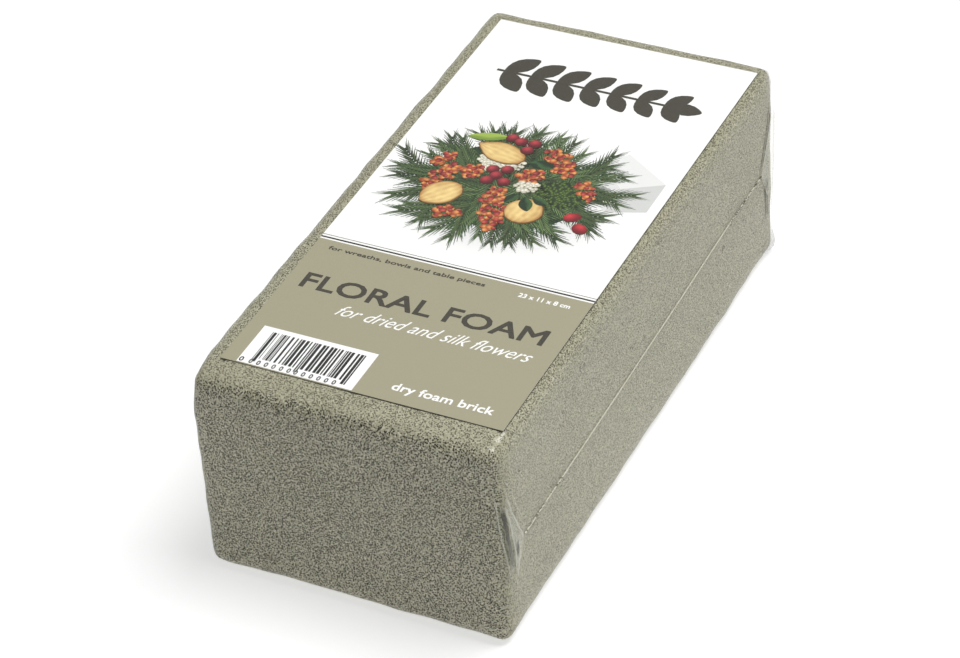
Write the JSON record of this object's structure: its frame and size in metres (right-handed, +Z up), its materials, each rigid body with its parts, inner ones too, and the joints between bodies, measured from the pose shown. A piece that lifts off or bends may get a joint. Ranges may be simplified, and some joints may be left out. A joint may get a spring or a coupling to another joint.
{
  "type": "floral foam brick",
  "caption": "Dry floral foam brick with a printed card on top, shrink-wrapped in clear welded film; it lies flat on its long face.",
  "frame": {"origin": "middle of the wrapped pack's underside, where it rests", "axes": "+Z up; +Y along the brick's length, from the front end (the foot of the card) to the back end; +X across the brick to its right side"},
  "size_m": [0.1124, 0.2324, 0.0808],
  "materials": {
    "foam": "rigid open-cell dry foam, greige, fine pores",
    "card": "printed coated paper, smooth",
    "film": "clear glossy shrink film",
    "weld": "melted film bead, clear to milky",
    "gathered_film": "clear film drawn into sharp pleats"
  },
  "bodies": {
    "root": {"foam_block": "foam", "label_card": "card", "film_upper": "film", "film_lower": "film", "weld_bead_right": "weld", "weld_bead_left": "weld", "weld_bead_back": "weld", "ear_front_right": "gathered_film", "ear_front_left": "gathered_film", "ear_back_right": "gathered_film", "ear_back_left": "gathered_film"}
  },
  "joints": []
}
